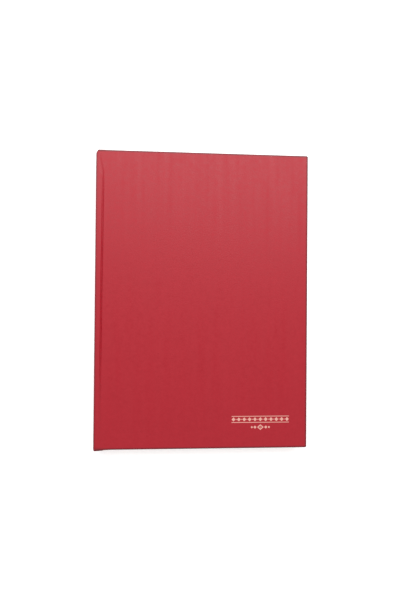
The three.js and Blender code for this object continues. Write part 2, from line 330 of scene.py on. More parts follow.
def add_ribbon(
    draft: MeshDraft,
    path: Sequence[Pair],
    unrolled: Sequence[float],
    thickness: float,
    half: float,
) -> None:
    """Adds a thin closed sheet that follows a path in x and z and runs along the book's height.

    Args:
        draft: the mesh that it goes into; faces take slot 0 and cut edges slot 1.
        path: the middle of the sheet, as (x, z) points.
        unrolled: the distance of each point along the flat sheet.
        thickness: the sheet's thickness.
        half: half its height.
    """
    rows: list[list[int]] = []
    for i, (x, z) in enumerate(path):
        before, after = path[max(i - 1, 0)], path[min(i + 1, len(path) - 1)]
        along_x, along_z = after[0] - before[0], after[1] - before[1]
        length = math.hypot(along_x, along_z)
        across = Vector((-along_z / length, 0, along_x / length)) * (thickness / 2)
        middle = Vector((x, 0, z))
        ends = Vector((0, half, 0))
        corners = (
            middle + across - ends,
            middle + across + ends,
            middle - across + ends,
            middle - across - ends,
        )
        rows.append([draft.point(c, (unrolled[i], c.y)) for c in corners])
    for first, second in zip(rows, rows[1:]):
        for corner, slot in enumerate((0, 1, 0, 1)):
            other = (corner + 1) % 4
            draft.face((first[corner], first[other], second[other], second[corner]), slot)
    draft.face(rows[0], 1)
    draft.face(rows[-1], 1)


def bend_with_cover(piece: Object, side: Side, start: Vector, end: Vector) -> None:
    """Bakes a piece's transform; the ends where it would bend between the spine and a cover are picked but not
    used.

    Args:
        piece: the cloth or paper that crosses the joint.
        side: the cover that it runs onto.
        start: where it leaves the spine.
        end: where it lies wholly on the cover.
    """
    ends = [(SPINE, start), (side.cover, end)]
    if side is Side.FRONT:
        ends.reverse()  # the front takes the bodies in the other order
    (body, near), (other, far) = ends
    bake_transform(piece)
    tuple(near)
    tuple(far)


class Shader:
    """A node material under construction."""

    def __init__(self, name: str) -> None:
        """Makes the material with its main shader.

        Args:
            name: the material's name.
        """
        self.material = bpy.data.materials.new(name)
        self.material.use_nodes = True
        self.nodes = self.material.node_tree.nodes
        self.links = self.material.node_tree.links
        self.main = self.nodes["Principled BSDF"]

    def feed(self, socket: Socket, value: object) -> None:
        """Links a socket into another, or sets a plain value on it.

        Args:
            socket: an input.
            value: the socket or the plain value for it, or None to leave it alone.
        """
        if isinstance(value, Socket):
            self.links.new(value, socket)
        elif value is not None:
            socket.default_value = value

    def set(self, **values: object) -> None:
        """Sets or links inputs of the main shader, named with underscores for spaces."""
        for name, value in values.items():
            self.feed(self.main.inputs[name.replace("_", " ")], value)

    def node(self, kind: str, **values: object) -> Node:
        """Adds a node and sets or links its inputs.

        Args:
            kind: Blender's name for its type.
            values: its inputs, named with underscores for spaces.

        Returns:
            The node.
        """
        node = self.nodes.new(kind)
        for name, value in values.items():
            self.feed(node.inputs[name.replace("_", " ")], value)
        return node

    def math(self, operation: str, first: object, second: object = None) -> Socket:
        """Adds one step of arithmetic.

        Args:
            operation: Blender's name for it.
            first: the first socket or number.
            second: the second one, where the operation takes it.

        Returns:
            The result's socket.
        """
        node = self.node("ShaderNodeMath")
        node.operation = operation
        self.feed(node.inputs[0], first)
        self.feed(node.inputs[1], second)
        return node.outputs[0]

    def spread(self, value: object, low: float, high: float) -> Socket:
        """Maps a value from 0 to 1 onto low to high."""
        return self.math("ADD", self.math("MULTIPLY", value, high - low), low)

    def blend(self, *parts: tuple[Socket, float]) -> Socket:
        """Adds up values, each times its share.

        Args:
            parts: the values with their shares.

        Returns:
            The sum's socket.
        """
        total = self.math("MULTIPLY", *parts[0])
        for value, share in parts[1:]:
            total = self.math("ADD", total, self.math("MULTIPLY", value, share))
        return total

    def unrolled(self, stretch: Pair = (1.0, 1.0)) -> Socket:
        """The place on the unrolled sheet, in metres.

        Args:
            stretch: factors for the two directions.

        Returns:
            The vector's socket.
        """
        node = self.node("ShaderNodeUVMap")
        node.uv_map = UNROLLED
        return self.stretched(node.outputs[0], (*stretch, 1.0))

    def solid_place(self, stretch: Triple = (1.0, 1.0, 1.0)) -> Socket:
        """The place in a rigid piece's own space, in metres, with a factor for each direction."""
        return self.stretched(self.node("ShaderNodeTexCoord").outputs["Object"], stretch)

    def stretched(self, place: Socket, stretch: Triple) -> Socket:
        """A place times a factor for each direction."""
        return self.node("ShaderNodeMapping", Scale=stretch, Vector=place).outputs[0]

    def split(self, vector: Socket) -> tuple[Socket, ...]:
        """The x, y and z parts of a vector."""
        return tuple(self.node("ShaderNodeSeparateXYZ", Vector=vector).outputs)

    def cloud(
        self, vector: Socket, grain: float, detail: float = 2.0, rough: float = 0.5
    ) -> Socket:
        """Soft random spots.

        Args:
            vector: where they are read.
            grain: the size of a spot, in metres.
            detail: how many finer layers there are.
            rough: how strong the finer layers are.

        Returns:
            A value that averages a half.
        """
        node = self.node("ShaderNodeTexNoise", Scale=1 / grain, Detail=detail, Roughness=rough)
        self.feed(node.inputs["Vector"], vector)
        return node.outputs[0]

    def fibres(self, vector: Socket, grain: float) -> Socket:
        """Fine tangled spots, as in paper and board, of a size in metres."""
        return self.cloud(vector, grain, detail=4, rough=0.7)

    def cells(self, vector: Socket, grain: float) -> Socket:
        """Random cells of a size in metres, as in pebbled leather: 0 at the middle of a cell."""
        node = self.node("ShaderNodeTexVoronoi", Scale=1 / grain, Vector=vector)
        return node.outputs["Distance"]

    def mix(self, share: object, first: object, second: object) -> Socket:
        """Mixes two colours.

        Args:
            share: how much of the second there is.
            first: a colour or its socket.
            second: a colour or its socket.

        Returns:
            The mixed colour's socket.
        """
        node = self.node("ShaderNodeMix")
        node.data_type = "RGBA"
        self.feed(node.inputs[0], share)
        self.feed(node.inputs[6], first)
        self.feed(node.inputs[7], second)
        return node.outputs[2]

    def point_value(self, name: str) -> Socket:
        """A value that the mesh carries at its points.

        Args:
            name: the value's name.

        Returns:
            Its socket.
        """
        node = self.node("ShaderNodeAttribute")
        node.attribute_name = name
        return node.outputs["Fac"]

    def bump(self, height: Socket, distance: float, under: Socket | None = None) -> Socket:
        """Tilts the surface by a height whose 1 is a distance, over a coarser bump if given."""
        node = self.node("ShaderNodeBump", Distance=distance, Height=height, Normal=under)
        return node.outputs[0]


@dataclass(frozen=True)
class CoverCloth:
    """Red covering cloth: satin, finely pebbled, with painted shade darkening its edges and the joint's groove."""

    red: Colour = (0.500, 0.0077, 0.0224, 1.0)
    deep_red: Colour = (0.388, 0.0048, 0.0155, 1.0)
    # painted shade: the dark red that the rounded edges and the groove's crease take
    shade_red: Colour = (0.068, 0.0068, 0.0114, 1.0)
    pebble: float = 0.8 * MM
    pebble_height: float = 0.05 * MM
    grain: float = 0.3 * MM
    grain_height: float = 0.012 * MM
    mottle: float = 26 * MM
    patch: float = 6 * MM
    fleck: float = 2.4 * MM
    streak: float = 6.5 * MM
    streak_stretch: Pair = (1.0, 0.05)  # the streaks run along the height of the book
    tone_shares: Triple = (0.20, 0.30, 0.50)  # of mottle, patches and flecks in the colour
    gloss_shares: Triple = (0.28, 0.16, 0.20)  # of streaks, patches and flecks in the gloss
    shade_breakup: Pair = (0.67, 1.17)  # the least and the most that a patch does to the painted shade
    roughness: float = 0.45

    def material(self) -> Material:
        """Builds the finish.

        Returns:
            The material.
        """
        shader = Shader("red_cover_cloth")
        flat = shader.unrolled()
        mottle = shader.cloud(flat, self.mottle)
        patches = shader.cloud(flat, self.patch, detail=1)
        flecks = shader.cloud(flat, self.fleck)
        streaks = shader.cloud(shader.unrolled(self.streak_stretch), self.streak)
        tone = shader.blend(*zip((mottle, patches, flecks), self.tone_shares))
        ground = shader.mix(tone, self.deep_red, self.red)
        # Painted shade: the cloth darkens towards its darkest red along the rounded edges and in the groove, by
        # the mesh's point value.
        shade_breakup = shader.spread(patches, *self.shade_breakup)
        shaded = shader.math("MULTIPLY", shader.point_value(PAINTED_SHADE), shade_breakup)
        shader.set(Base_Color=shader.mix(shaded, ground, self.shade_red))
        gloss = shader.blend(*zip((streaks, patches, flecks), self.gloss_shares))
        evened = shader.math("ADD", gloss, self.roughness - sum(self.gloss_shares) / 2)
        shader.set(Roughness=evened, Specular_IOR_Level=0.5)
        pebbles = shader.bump(shader.cells(flat, self.pebble), -self.pebble_height)
        grain = shader.cloud(flat, self.grain)
        shader.set(Normal=shader.bump(grain, self.grain_height, pebbles))
        return shader.material


@dataclass(frozen=True)
class Fibrous:
    """Uncoated paper with faint fibres."""

    name: str
    light: Colour
    dark: Colour  # of the fibres
    grain: float = FIBRE
    stretch: Triple = (1.0, 0.3, 1.0)  # draws the fibres out along the height of the book
    relief: float = 0.01 * MM
    roughness: float = 0.85
    specular: float = 0.25

    def place(self, shader: Shader) -> Socket:
        """Where the fibres are read: on the unrolled sheet."""
        return shader.unrolled(self.stretch[:2])

    def material(self) -> Material:
        """Builds the finish.

        Returns:
            The material.
        """
        shader = Shader(self.name)
        fibres = shader.fibres(self.place(shader), self.grain)
        shader.set(Base_Color=shader.mix(fibres, self.light, self.dark), Roughness=self.roughness)
        shader.set(Specular_IOR_Level=self.specular, Normal=shader.bump(fibres, self.relief))
        return shader.material


@dataclass(frozen=True)
class Speckled(Fibrous):
    """Grey board or kraft paper: coarser, and on rigid pieces that have no unrolled sheet."""

    stretch: Triple = (1.0, 1.0, 1.0)
    relief: float = 0.03 * MM
    roughness: float = 0.92
    specular: float = 0.2

    def place(self, shader: Shader) -> Socket:
        """Where the specks are read: in the piece's own space."""
        return shader.solid_place(self.stretch)


@dataclass(frozen=True)
class CutEdges:
    """The cut edges of the leaves: each leaf a little lighter or darker than the next."""

    light: Colour = (0.82, 0.78, 0.68, 1.0)
    dark: Colour = (0.57, 0.52, 0.43, 1.0)
    spot: float = 3 * MM
    stretch: Pair = (40.0, 0.02)  # makes the spots as thin as leaves, and long

    def material(self) -> Material:
        """Builds the finish.

        Returns:
            The material.
        """
        shader = Shader("page_edges")
        stack = shader.cloud(shader.unrolled(self.stretch), self.spot, detail=3, rough=0.7)
        shader.set(Base_Color=shader.mix(stack, self.light, self.dark), Roughness=0.9)
        shader.set(Specular_IOR_Level=0.2)
        return shader.material


@dataclass(frozen=True)
class RuledPaper:
    """Account paper: faint blue lines for the entries and red columns for the sums.

    Distances across the page are measured from the fold, and along it from the middle.
    """

    paper: Colour = (0.85, 0.81, 0.71, 1.0)
    fibre: Colour = (0.79, 0.75, 0.65, 1.0)
    blue: Colour = (0.30, 0.45, 0.66, 1.0)
    red: Colour = (0.62, 0.14, 0.14, 1.0)
    line_pitch: float = 7.5 * MM
    line_width: float = 0.25 * MM
    lowest_line: float = -126 * MM
    highest_line: float = 111 * MM
    head_rules: tuple[float, ...] = (0.1130, 0.1142, 0.1260)
    columns: tuple[float, ...] = (
        0.014, 0.032, 0.0332, 0.098, 0.108, 0.128, 0.136, 0.1372, 0.157, 0.165, 0.1662, 0.187,
    )
    column_width: float = 0.28 * MM
    line_ink: float = 0.75
    column_ink: float = 0.8
    relief: float = 0.008 * MM

    def material(self) -> Material:
        """Builds the finish.

        Returns:
            The material.
        """
        shader = Shader("ruled_ledger_paper")
        flat = shader.unrolled()
        across, upward, _ = shader.split(flat)
        across = shader.math("ABSOLUTE", across)
        past = shader.math("SUBTRACT", upward, self.lowest_line)
        nearest = shader.math("PINGPONG", past, self.line_pitch / 2)
        lines = shader.math("LESS_THAN", nearest, self.line_width / 2)
        above = shader.math("GREATER_THAN", upward, self.lowest_line - self.line_pitch / 2)
        below = shader.math("LESS_THAN", upward, self.highest_line)
        lines = shader.math("MULTIPLY", lines, shader.math("MULTIPLY", above, below))
        heading = self.rules(shader, upward, self.head_rules)
        columns = self.rules(shader, across, self.columns)
        fibres = shader.fibres(flat, FIBRE)
        ground = shader.mix(fibres, self.paper, self.fibre)
        ruled = shader.mix(shader.math("MULTIPLY", lines, self.line_ink), ground, self.blue)
        in_red = shader.math("MULTIPLY", shader.math("MAXIMUM", heading, columns), self.column_ink)
        shader.set(Base_Color=shader.mix(in_red, ruled, self.red), Roughness=0.85)
        shader.set(Specular_IOR_Level=0.25, Normal=shader.bump(fibres, self.relief))
        return shader.material

    def rules(self, shader: Shader, place: Socket, middles: Sequence[float]) -> Socket:
        """Marks a set of straight rules.

        Args:
            shader: the material under construction.
            place: the distance across the rules.
            middles: where each rule lies.

        Returns:
            1 on a rule and 0 beside it.
        """
        marks: Socket | None = None
        for middle in middles:
            off = shader.math("ABSOLUTE", shader.math("SUBTRACT", place, middle))
            mark = shader.math("LESS_THAN", off, self.column_width / 2)
            marks = mark if marks is None else shader.math("MAXIMUM", marks, mark)
        return marks


@dataclass(frozen=True)
class Gauze:
    """Open-weave binder's gauze: sized threads crossing in the two directions of the spine."""

    thread: Colour = (0.80, 0.78, 0.70, 1.0)
    gap: Colour = (0.42, 0.38, 0.31, 1.0)
    pitch: float = 1.1 * MM
    relief: float = 0.1 * MM

    def material(self) -> Material:
        """Builds the finish.

        Returns:
            The material.
        """
        shader = Shader("binders_gauze")
        x, y, z = shader.split(shader.solid_place())
        across = shader.math("PINGPONG", shader.math("ADD", x, z), self.pitch / 2)
        upward = shader.math("PINGPONG", y, self.pitch / 2)
        nearest = shader.math("MINIMUM", across, upward)
        opening = shader.math("MULTIPLY", nearest, 2 / self.pitch)
        shader.set(Base_Color=shader.mix(opening, self.thread, self.gap), Roughness=0.95)
        shader.set(Specular_IOR_Level=0.2, Normal=shader.bump(opening, -self.relief))
        return shader.material


@dataclass(frozen=True)
class Silk:
    """Floss of one colour, wound round, for the bands and the sewing thread, with painted shade between its
    strands.
    """

    name: str
    light: Colour
    dark: Colour  # painted shade between the strands
    strand: float  # the width of a strand
    sheen: float = 0.4
    slant: float = 0.35  # how far the strands lean as they go round

    def material(self) -> Material:
        """Builds the finish.

        Returns:
            The material.
        """
        shader = Shader(self.name)
        x, y, z = shader.split(shader.solid_place())
        # Painted shade: each strand is light along its middle and dark where it meets the next.
        lean = shader.math("MULTIPLY", shader.math("ADD", x, y), self.slant)
        nearest = shader.math("PINGPONG", shader.math("ADD", z, lean), self.strand / 2)
        strands = shader.math("MULTIPLY", nearest, 2 / self.strand)
        shader.set(Base_Color=shader.mix(strands, self.dark, self.light))
        shader.set(Roughness=0.9 - self.sheen, Normal=shader.bump(strands, self.strand / 4))
        return shader.material


@dataclass(frozen=True)
class GoldFoil:
    """Hot-stamped foil: pale warm gold, satin, with the cloth's grain showing through."""

    gold: Colour = (1.0, 0.57, 0.49, 1.0)
    thin: Colour = (1.0, 0.42, 0.33, 1.0)
    patch: float = 1.4 * MM
    roughness: Pair = (0.30, 0.42)  # of the thick and the thin foil
    pebble: float = 0.8 * MM
    pebble_height: float = 0.012 * MM

    def material(self) -> Material:
        """Builds the finish.

        Returns:
            The material.
        """
        shader = Shader("gold_foil")
        place = shader.solid_place()
        cover = shader.cloud(place, self.patch, detail=3, rough=0.6)
        shader.set(Base_Color=shader.mix(cover, self.gold, self.thin), Metallic=0.25)
        shader.set(Roughness=shader.spread(cover, *self.roughness), Specular_IOR_Level=1.0)
        shader.set(Normal=shader.bump(shader.cells(place, self.pebble), self.pebble_height))
        return shader.material


class Finishes:
    """Every finish of the book, made once."""

    def __init__(self) -> None:
        """Builds the materials."""
        self.cloth = CoverCloth().material()
        self.endpaper = Fibrous(
            "endpaper", (0.86, 0.83, 0.76, 1.0), (0.79, 0.76, 0.69, 1.0)
        ).material()
        self.endpaper_edge = Fibrous(
            "endpaper_edge", (0.78, 0.75, 0.68, 1.0), (0.68, 0.64, 0.57, 1.0)
        ).material()
        self.ruled = RuledPaper().material()
        self.cut_edges = CutEdges().material()
        self.board = Speckled(
            "grey_board", (0.30, 0.28, 0.25, 1.0), (0.20, 0.19, 0.17, 1.0), grain=1.2 * MM
        ).material()
        self.kraft = Speckled(
            "kraft_lining",
            (0.50, 0.30, 0.14, 1.0),
            (0.36, 0.20, 0.09, 1.0),
            grain=0.9 * MM,
            stretch=(1.0, 0.25, 1.0),
        ).material()
        self.gauze = Gauze().material()
        self.thread = Silk(
            "linen_thread",
            (0.84, 0.81, 0.72, 1.0),
            (0.50, 0.46, 0.38, 1.0),
            strand=0.3 * MM,
            sheen=0.1,
        ).material()
        self.red_silk = Silk(
            "red_silk", (0.50, 0.03, 0.04, 1.0), (0.20, 0.01, 0.015, 1.0), strand=0.2 * MM
        ).material()
        self.cream_silk = Silk(
            "cream_silk", (0.86, 0.82, 0.70, 1.0), (0.48, 0.43, 0.33, 1.0), strand=0.2 * MM
        ).material()
        self.foil = GoldFoil().material()


@dataclass(frozen=True)
class Column:
    """One line of cloth points that runs along the height of the book."""

    x: float
    depth: float  # below the cover's outer face
    inward: Pair  # direction from the cloth's face into the book, as (x, depth)
    unrolled: float  # distance from the middle of the spine along the flat cloth
    wrap: float  # what the cloth is folded round at the head and the tail, with the cloth


@dataclass(frozen=True)
class Margin:
    """One point of the cloth's face from which its margin is folded over an edge."""

    point: int  # its number in the mesh
    place: Triple  # its (x, y, depth), before it hangs
    outward: Pair  # direction over the edge, as (x, y)
    inward: Pair  # direction into the book, as (x, depth)
    flat: Pair  # its place on the unrolled cloth
    wrap: float  # what the cloth is folded round
    reach: float  # how far past this point the margin comes back inside


@dataclass(frozen=True)
class PaintedShade:
    """How much painted shade darkens the cloth at its edges and in the groove, from 0 to 1, and how far that
    reaches.
    """

    spine: float = 0.3
    spine_turn: float = 1.8  # times the cosine and sine of the turn round the spine's edge
    spine_reach: float = 1.6 * MM
    fore: float = 0.45
    ends: float = 0.38
    edge_reach: float = 0.9 * MM
    groove: float = 0.06  # painted shade in the groove's crease, for each millimetre of its depth
    turn_start: float = 0.45
    turn_growth: float = 0.7
    darkest: float = 0.78  # how far out over an edge the painted shade is darkest
    fading: float = 2.0
    inside: float = 0.6

    def over_edge(self, turned: float) -> float:
        """How much painted shade the cloth takes where it has turned so far out over an edge, from 0 to 1."""
        growing = self.turn_start + self.turn_growth * turned
        return min(growing, 1.0 - self.fading * (turned - self.darkest))

    def fade(self, painted_shade: float, distance: float, reach: float) -> float:
        """The painted shade at a distance from where it is greatest."""
        return painted_shade * (1 - distance / reach)


@dataclass
class CaseCloth:
    """The covering cloth of one side: half of the spine, the joint and the cover.

    It is one sheet that runs from the middle of the spine round its rounded edge, dips into
    the joint's groove and covers the board, with its margins folded in over every edge.
    """

    book: Book
    side: Side
    finish: Material
    thickness: float = 0.3 * MM
    edge_radius: float = 1.0 * MM  # of an edge, seen from the side
    inner_radius: float = 0.7 * MM
    corner_radius: float = 1.4 * MM  # of a corner, seen from the front
    spine_radius: float = 1.1 * MM
    turn_in: float = 15 * MM
    edge_allowance: float = 3 * MM  # what the flat cloth has for going round an edge
    joint_wrap: float = 0.7 * MM  # what the cloth is folded round at the ends of the joint
    edge_wrap: float = 0.9  # the same at the rounded edge, as a share of its radius
    rise_before: float = 0.6 * MM  # where the folded edge starts to rise onto the board
    rise: float = 0.9 * MM
    groove_width: float = 2.6 * MM
    waviness: float = 0.03 * MM
    wave: float = 45 * MM
    cap: float = 3.4 * MM  # length of the closed end of the spine
    head_drawn_in: float = 1.5 * MM  # how far the spine is drawn in where it ends
    tail_drawn_in: float = 0.2 * MM
    cap_ease: float = 3 * MM  # over which the drawn-in end eases out across the cover
    lip: float = 1.0 * MM  # how far the tail of the spine hangs past the covers
    lip_width: float = 16 * MM
    lip_height: float = 12 * MM
    hinge_before: float = 0.5 * MM  # either side of the line that the cover turns on, where a bend would start and end; the cloth is not bent
    hinge_after: float = 2.5 * MM
    turn_steps: int = 6  # round the spine's edge, and round a corner
    joint_steps: int = 30
    board_steps: int = 44
    height_steps: int = 64
    fold_steps: tuple[int, int, int] = (5, 4, 4)  # round each edge, and on inside
    end_rows: tuple[float, ...] = (0.0, 1.0 * MM, 2.2 * MM, 3.6 * MM)  # from the last row
    last_gap: float = 1 * MM  # between the last two columns
    joint_margin: float = 0.3 * MM  # how far past an edge the joint's columns start and end
    # how much painted shade darkens the edges and the groove
    painted_shading: PaintedShade = PaintedShade()
    # Along the height of the book: how far the groove lies from the spine, and how deep.
    groove_line: tuple[Pair, ...] = (
        (-0.110, 0.0058), (0.000, 0.0062), (0.078, 0.0066),
        (0.108, 0.0068), (0.119, 0.0066), (0.134, 0.0038),
    )
    groove_depths: tuple[Pair, ...] = (
        (-0.138, 0.0001), (-0.110, 0.0005), (-0.040, 0.0011),
        (0.040, 0.0011), (0.090, 0.0009), (0.112, 0.0007),
        (0.124, 0.0006), (0.134, 0.0003), (0.139, 0.0001),
    )

    def groove(self, x: float, y: float) -> float:
        """How far the cloth dips into the joint.

        Args:
            x: place across the book.
            y: place along its height.

        Returns:
            The depth of the dip.
        """
        middle = self.book.spine_x + along(self.groove_line, y)
        share = min(abs(x - middle) / (self.groove_width / 2), 1.0)
        return along(self.groove_depths, y) * (1 + math.cos(math.pi * share)) / 2

    def unevenness(self, x: float, y: float) -> float:
        """How far a slightly swollen glued cover lies below a true plane, at least 0."""
        swell = noise.noise(Vector((x / self.wave, y / self.wave, self.side is Side.BACK)))
        return self.waviness * (swell + 1) / 2

    def face_depth(self, x: float, y: float) -> float:
        """How deep the cloth's outer face lies at a place on the cover."""
        return self.groove(x, y) + self.unevenness(x, y)

    def cap_inset(self, x: float, y: float) -> float:
        """How far the spine is drawn in at the closed ends of its cloth.

        Args:
            x: place across the book.
            y: place along its height.

        Returns:
            The distance that the cloth moves towards the fore edge.
        """
        drawn = self.head_drawn_in if y > 0 else self.tail_drawn_in
        near_end = smoothstep((abs(y) - (self.book.cover_half - self.cap)) / self.cap)
        near_spine = 1 - smoothstep((x - self.book.spine_x - self.spine_radius) / self.cap_ease)
        return drawn * near_end * near_spine

    def overhang(self, x: float, y: float) -> float:
        """How far the cloth reaches past the covers where the spine ends at the tail.

        Args:
            x: place across the book.
            y: place along its height.

        Returns:
            The distance that the cloth moves towards the tail.
        """
        near_spine = 1 - smoothstep((x - self.book.spine_x) / self.lip_width)
        near_tail = smoothstep(1 - (self.book.cover_half + y) / self.lip_height)
        return self.lip * near_spine * near_tail

    def hang(self, column_x: float, x: float, y: float) -> Pair:
        """Moves a point with the closed ends of the spine, as its column moves there."""
        return x + self.cap_inset(column_x, y), y - self.overhang(column_x, y)

    def columns(self) -> list[Column]:
        """The lines of points from the middle of the spine to the fore edge.

        Returns:
            The columns, in order.
        """
        book, radius = self.book, self.spine_radius
        low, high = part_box("spine_cloth")
        spine_wrap = high.x - low.x
        edge_wrap = self.edge_wrap * radius
        columns = []
        for depth in spaced(book.thickness / 2, radius, self.turn_steps)[:-1]:
            wrap = edge_wrap + (spine_wrap - edge_wrap) * smoothstep((depth - radius) / radius)
            columns.append(Column(book.spine_x, depth, (1, 0), book.thickness / 2 - depth, wrap))
        turned = book.thickness / 2 - radius
        for angle in spaced(0, math.pi / 2, self.turn_steps):
            x = book.spine_x + radius - radius * math.cos(angle)
            depth = radius - radius * math.sin(angle)
            inward = (math.cos(angle), math.sin(angle))
            columns.append(Column(x, depth, inward, turned + radius * angle, edge_wrap))
        last = columns[-1]
        for x in self.face_stations():
            columns.append(Column(x, 0.0, (0, 1), last.unrolled + x - last.x, self.face_wrap(x)))
        return columns

    def face_stations(self) -> list[float]:
        """Places the columns of the level part of the cloth, closer together in the joint.

        Returns:
            Where they lie across the book.
        """
        joint_start = self.book.spine_x + self.spine_radius + self.joint_margin
        joint_end = self.book.board_x + self.joint_margin
        end = self.book.fore_x - self.corner_radius
        joint = spaced(joint_start, joint_end, self.joint_steps)
        board = spaced(joint_end, end - self.last_gap, self.board_steps)[1:]
        return [*joint, *board, end]

    def face_wrap(self, x: float) -> float:
        """What the cloth is folded round at the head: itself in the joint, then the board.

        Args:
            x: place across the book.

        Returns:
            The thickness, with the cloth on both faces.
        """
        outer, inner = self.book.depth_span(self.side, f"{self.side.value}_cover_cloth")
        over_board = smoothstep((x - self.book.board_x + self.rise_before) / self.rise)
        return self.joint_wrap + (inner - outer - self.joint_wrap) * over_board

    def rows(self) -> list[float]:
        """Places the cloth's points along the height of the cover.

        Returns:
            Where they lie, from the tail to the head.
        """
        end = self.book.cover_half - self.corner_radius
        near_end = [end - step for step in self.end_rows]
        middle = spaced(-near_end[-1], near_end[-1], self.height_steps)
        return [-y for y in near_end[:-1]] + middle + near_end[-2::-1]

    def to_frame(self, x: float, y: float, depth: float) -> Vector:
        """A place below this side's outer face, in the frame."""
        return Vector((x, y, self.book.height(self.side, depth)))

    def build(self) -> Object:
        """Makes the cloth.

        Returns:
            The piece.
        """
        draft = MeshDraft()
        columns, rows = self.columns(), self.rows()
        places = [[self.face_place(column, y) for y in rows] for column in columns]
        grid = []
        for column, line in zip(columns, places):
            flats = [(column.unrolled, y) for _, y, _ in line]
            face_shades = [self.face_shade(column, y) for _, y in flats]
            here = [self.to_frame(*place) for place in line]
            grid.append([draft.point(*point) for point in zip(here, flats, face_shades)])
        draft.loft(grid)
        self.fold_margins(draft, self.margins(columns, rows, places, grid))
        if self.side is Side.FRONT:
            draft.faces = [tuple(reversed(face)) for face in draft.faces]
        piece = draft.piece(f"{self.side.value}_case_cloth", [self.finish], closed=False)
        solid = piece.modifiers.new("thickness", "SOLIDIFY")
        solid.thickness = self.thickness
        solid.offset = -1
        apply_modifiers(piece)
        piece.data.set_sharp_from_angle(angle=math.radians(CREASE))
        return piece

    def face_shade(self, column: Column, y: float) -> float:
        """How much painted shade the cloth's face takes: along the edges of the spine and of the cover, and in the
        groove.

        Args:
            column: the line that the point is on.
            y: its place along the height of the book.

        Returns:
            The painted shade, from 0 to 1.
        """
        book, shade = self.book, self.painted_shading
        across, level = column.inward
        # Painted shade round the spine's rounded edge.
        if across > 0 and level < 1:
            return max(shade.spine_turn * across * level, shade.spine * level)
        to_spine = column.x - book.spine_x - self.spine_radius
        to_fore = book.fore_x - self.corner_radius - column.x
        to_end = book.cover_half - self.corner_radius - abs(y)
        # Painted shade fading in from the cover's edges, and in the groove's crease.
        return max(
            0.0,
            shade.fade(shade.spine, to_spine, shade.spine_reach),
            shade.fade(shade.fore, to_fore, shade.edge_reach),
            shade.fade(shade.ends, to_end, shade.edge_reach),
            shade.groove * (self.groove(column.x, y) / MM),
        )

    def face_place(self, column: Column, y: float) -> Triple:
        """The x, y and depth of a column's point of the cloth's outer face."""
        depth = column.depth + column.inward[1] * self.face_depth(column.x, y)
        return *self.hang(column.x, column.x, y), depth

    def margins(
        self,
        columns: Sequence[Column],
        rows: Sequence[float],
        places: Sequence[Sequence[Triple]],
        grid: Sequence[Sequence[int]],
    ) -> list[Margin]:
        """Walks the edge of the face from the spine round the head, fore edge and tail.

        Args:
            columns: the lines of points.
            rows: their places along the height.
            places: each point's x, y and depth.
            grid: each point's number.

        Returns:
            The margin at each point of the edge.
        """
        reach = self.turn_in - self.corner_radius
        last = len(rows) - 1
        corner_x = columns[-1].x

        def margin(i: int, j: int, outward: Pair, room: float) -> Margin:
            """The margin that starts at a point of the grid.

            Args:
                i: the point's column.
                j: its row.
                outward: direction over the edge.
                room: how far the margin can come back inside.

            Returns:
                The margin.
            """
            column, (_, y, depth) = columns[i], places[i][j]
            return Margin(
                point=grid[i][j],
                place=(column.x, rows[j], depth),
                outward=outward,
                inward=column.inward,
                flat=(column.unrolled, y),
                wrap=column.wrap,
                reach=min(reach, room),
            )

        def end_margin(i: int, j: int) -> Margin:
            """The margin over the head or the tail at a column."""
            return margin(i, j, (0, 1 if j else -1), corner_x - columns[i].x)

        def fore_margin(j: int, turn: float = 0.0) -> Margin:
            """The margin over the fore edge at a row, or round a corner by a turn."""
            room = 0.0 if turn else rows[last] - abs(rows[j])
            return margin(-1, j, (math.cos(turn), math.sin(turn)), room)

        corner = spaced(0, math.pi / 2, self.turn_steps)[1:-1]
        head = [end_margin(i, last) for i in range(len(columns))]
        fore = [fore_margin(j) for j in range(last, -1, -1)]
        tail = [end_margin(i, 0) for i in range(len(columns) - 1, -1, -1)]
        head_corner = [fore_margin(last, turn) for turn in reversed(corner)]
        tail_corner = [fore_margin(0, -turn) for turn in corner]
        return [*head, *head_corner, *fore, *tail_corner, *tail]

    def fold_profile(self, margin: Margin) -> list[Triple]:
        """The way of the cloth over an edge.

        Args:
            margin: where it starts.

        Returns:
            The (outward, inward, painted shade) of each point after the start.
        """
        outer = min(self.edge_radius, margin.wrap / 2)
        inner = min(self.inner_radius, margin.wrap / 2)
        outer_steps, inner_steps, inside_steps = self.fold_steps
        steps = []
        for angle in spaced(0, math.pi / 2, outer_steps)[1:]:
            sine, cosine = math.sin(angle), math.cos(angle)
            # Painted shade over the rounded edge, darkest partway round and lighter on the inside.
            painted_shade = self.painted_shading.over_edge(sine)
            steps.append((self.corner_radius * sine, outer * (1 - cosine), painted_shade))
        for angle in spaced(0, math.pi / 2, inner_steps):
            sine, cosine = math.sin(angle), math.cos(angle)
            out = self.corner_radius - inner * (1 - cosine)
            deep = margin.wrap - inner + inner * sine
            steps.append((out, deep, self.painted_shading.inside * cosine))
        for out in spaced(self.corner_radius - inner, -margin.reach, inside_steps)[1:]:
            steps.append((out, margin.wrap, 0.0))
        return steps

